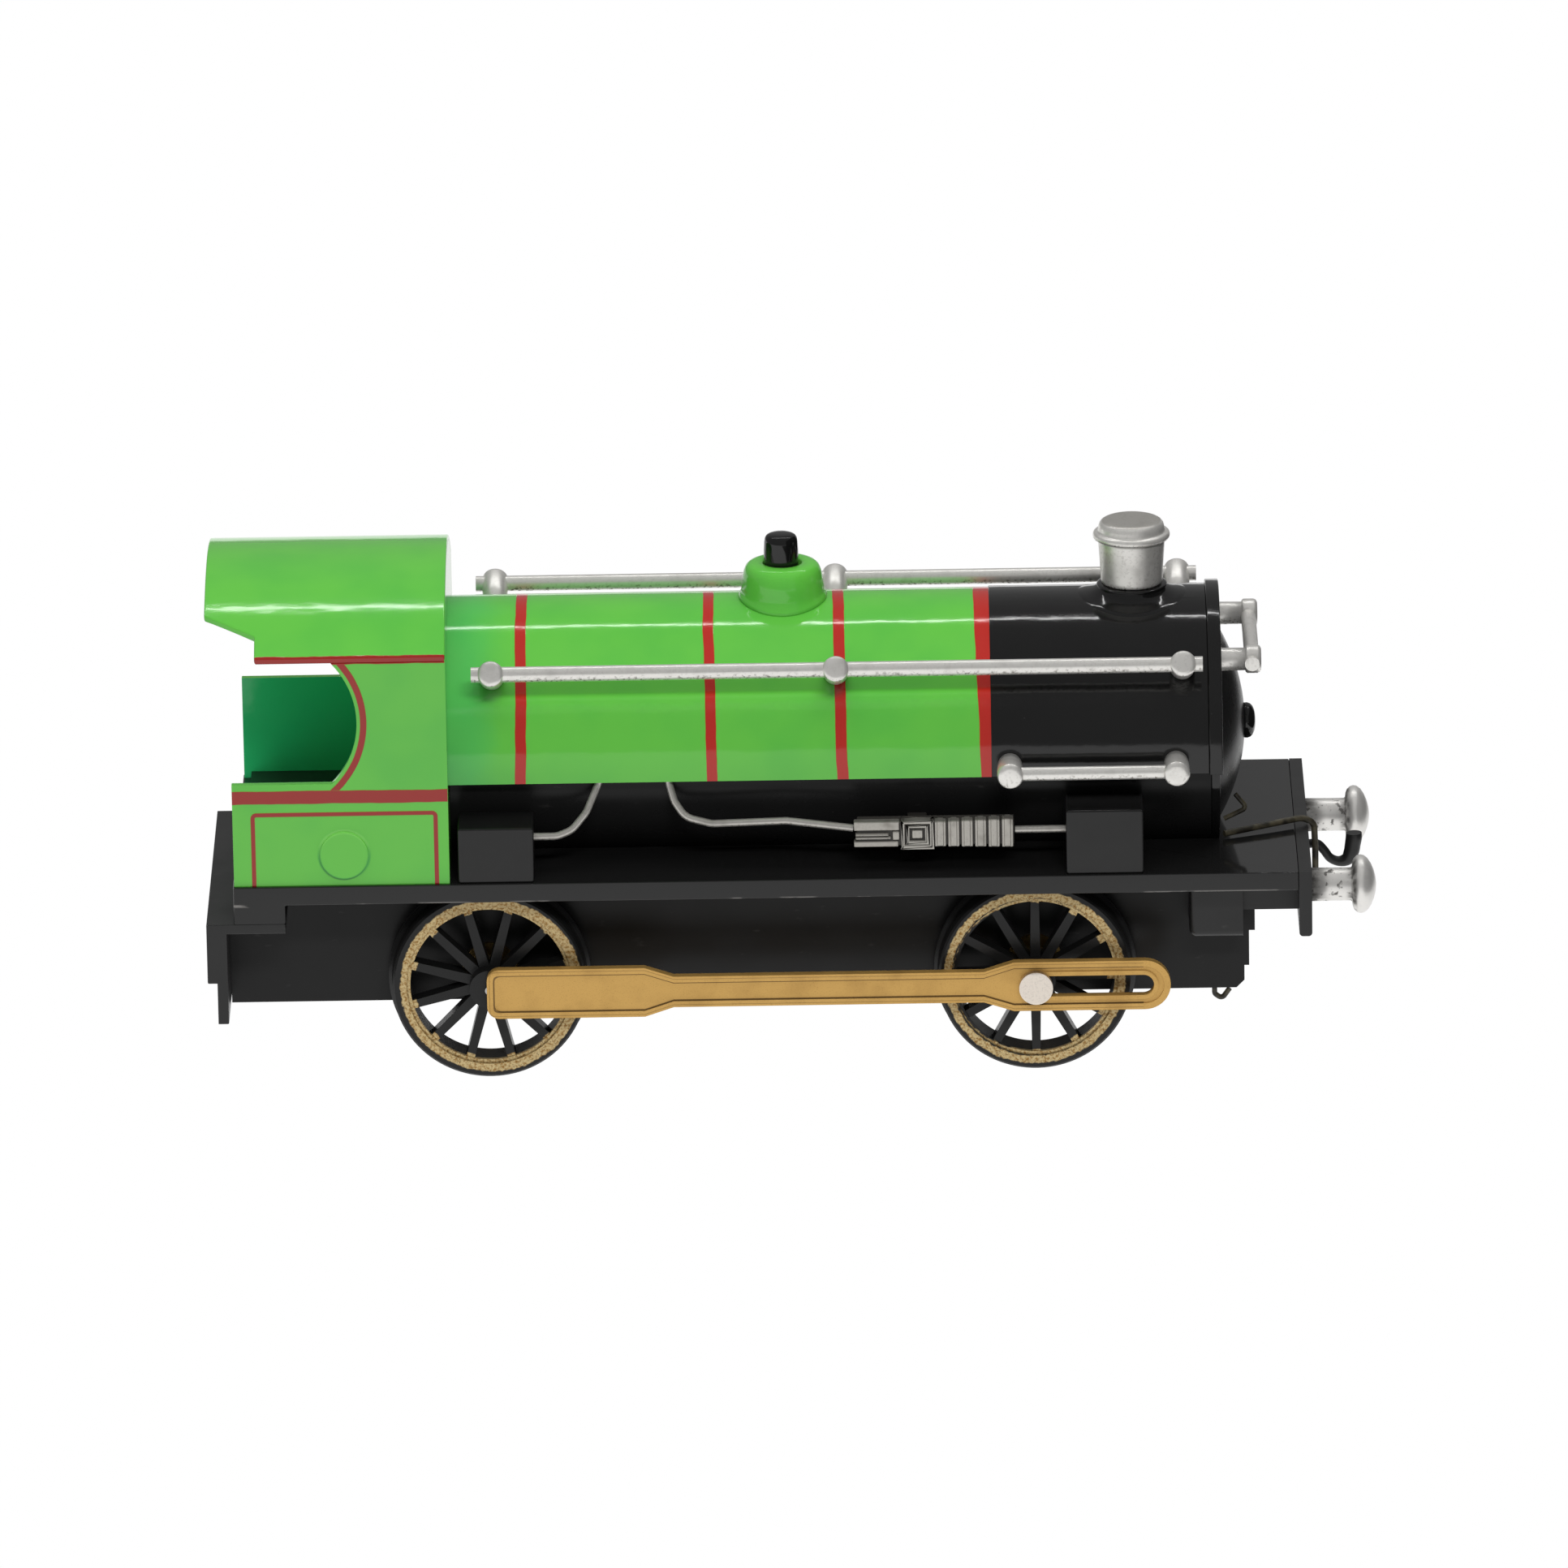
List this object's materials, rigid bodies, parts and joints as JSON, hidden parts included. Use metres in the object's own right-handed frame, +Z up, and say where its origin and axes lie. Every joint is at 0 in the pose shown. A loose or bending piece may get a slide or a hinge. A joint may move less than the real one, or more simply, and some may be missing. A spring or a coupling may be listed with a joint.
{
  "type": "live steam engine",
  "caption": "Small live steam railway engine: open-backed cab, horizontal boiler, dome, chimney, spoked wheels, slotted side rods and an inside cylinder over a spirit burner.",
  "frame": {"origin": "Middle of the whole length and width, at the height of the wheel flanges' lowest points", "axes": "+X towards the chimney end, -Y is the engine's right-hand side, +Z up"},
  "size_m": [0.218, 0.0666, 0.0998],
  "materials": {
    "green_paint": "gloss",
    "black_gloss": "gloss",
    "black_satin": "satin",
    "silver_paint": "metallic paint, a little worn",
    "gold_paint": "metallic paint, a little worn",
    "gold_tyre": "gold paint on the faces, dark on the flange",
    "wheel_iron": "black paint",
    "steel": "satin",
    "brass": "satin",
    "copper_pipe": "satin, copper coloured",
    "wick": "matt"
  },
  "bodies": {
    "engine": {"boiler_cladding": "green_paint", "dome": "green_paint", "cab_body": "green_paint", "cab_roof": "green_paint", "smokebox_shell": "black_gloss", "smokebox_front": "black_gloss", "smokebox_door": "black_gloss", "chimney_base": "black_gloss", "lower_casing": "black_gloss", "door_knob": "black_gloss", "footplate": "black_satin", "front_buffer_beam": "black_satin", "rear_drag_beam": "black_satin", "side_frames": "black_satin", "frame_stretchers": "black_satin", "front_sandboxes": "black_satin", "coupling_hook": "black_satin", "front_wires": "black_satin", "smokebox_saddle": "black_satin", "cab_floor": "black_satin", "footplate_boxes": "black_satin", "burner_tray": "black_satin", "cylinder_covers": "black_satin", "buffers": "silver_paint", "chimney": "silver_paint", "side_handrails": "silver_paint", "handrail_posts": "silver_paint", "front_handrail": "silver_paint", "injectors": "silver_paint", "feed_pipes": "silver_paint", "body_screws": "steel", "guide_bars": "steel", "boiler_barrel": "brass", "boiler_end_caps": "brass", "filler_bush": "brass", "axle_bushes": "brass", "cylinder_block": "brass", "steam_pipe": "copper_pipe", "exhaust_pipe": "copper_pipe", "burner_wicks": "wick"},
    "rear_wheelset": {"rear_axle": "steel", "rear_wheel_centres": "wheel_iron", "rear_tyres": "gold_tyre", "crank_pins": "steel", "valve_eccentric": "steel"},
    "front_wheelset": {"front_axle": "steel", "front_wheel_centres": "wheel_iron", "front_tyres": "gold_tyre"},
    "right_side_rod": {"side_rod_right": "gold_paint", "rod_pin_right": "steel"},
    "left_side_rod": {"side_rod_left": "gold_paint", "rod_pin_left": "steel"},
    "drive_rod": {"connecting_rod": "steel"},
    "valve_rod": {"eccentric_rod": "steel"},
    "piston_set": {"piston": "brass", "piston_rod": "steel"},
    "valve_set": {"slide_valve": "steel"},
    "plug": {"filler_plug": "black_gloss"},
    "cap": {"chimney_cap": "silver_paint"}
  },
  "joints": [
    {"name": "rear_wheels_turn", "type": "hinge", "parent": "engine", "child": "rear_wheelset", "pos_m": [-0.0567, 0, 0.0189], "axis": [0, 1, 0], "continuous": true},
    {"name": "front_wheels_turn", "type": "hinge", "parent": "engine", "child": "front_wheelset", "pos_m": [0.0452, 0, 0.0189], "axis": [0, 1, 0], "continuous": true},
    {"name": "right_rod_pivot", "type": "hinge", "parent": "rear_wheelset", "child": "right_side_rod", "pos_m": [-0.0466, -0.031, 0.0189], "axis": [0, 1, 0], "continuous": true},
    {"name": "left_rod_pivot", "type": "hinge", "parent": "rear_wheelset", "child": "left_side_rod", "pos_m": [-0.0466, 0.031, 0.0189], "axis": [0, 1, 0], "continuous": true},
    {"name": "connecting_rod_pivot", "type": "hinge", "parent": "rear_wheelset", "child": "drive_rod", "pos_m": [-0.0507, 0.0035, 0.0189], "axis": [0, 1, 0], "continuous": true},
    {"name": "eccentric_rod_pivot", "type": "hinge", "parent": "rear_wheelset", "child": "valve_rod", "pos_m": [-0.0547, -0.0115, 0.0189], "axis": [0, 1, 0], "continuous": true},
    {"name": "piston_slide", "type": "slide", "parent": "engine", "child": "piston_set", "axis": [1, 0, 0], "range_m": [-0.012, 0]},
    {"name": "valve_slide", "type": "slide", "parent": "engine", "child": "valve_set", "axis": [1, 0, 0], "range_m": [-0.004, 0]},
    {"name": "plug_lift", "type": "slide", "parent": "engine", "child": "plug", "axis": [0, 0, 1], "range_m": [0, 0.02]},
    {"name": "cap_lift", "type": "slide", "parent": "engine", "child": "cap", "axis": [0, 0, 1], "range_m": [0, 0.012]}
  ],
  "couplings": [
    {"joint": "right_rod_pivot", "follows": "rear_wheels_turn", "ratio": -1},
    {"joint": "left_rod_pivot", "follows": "rear_wheels_turn", "ratio": -1},
    {"joint": "connecting_rod_pivot", "follows": "rear_wheels_turn", "ratio": -1},
    {"joint": "eccentric_rod_pivot", "follows": "rear_wheels_turn", "ratio": -1}
  ]
}
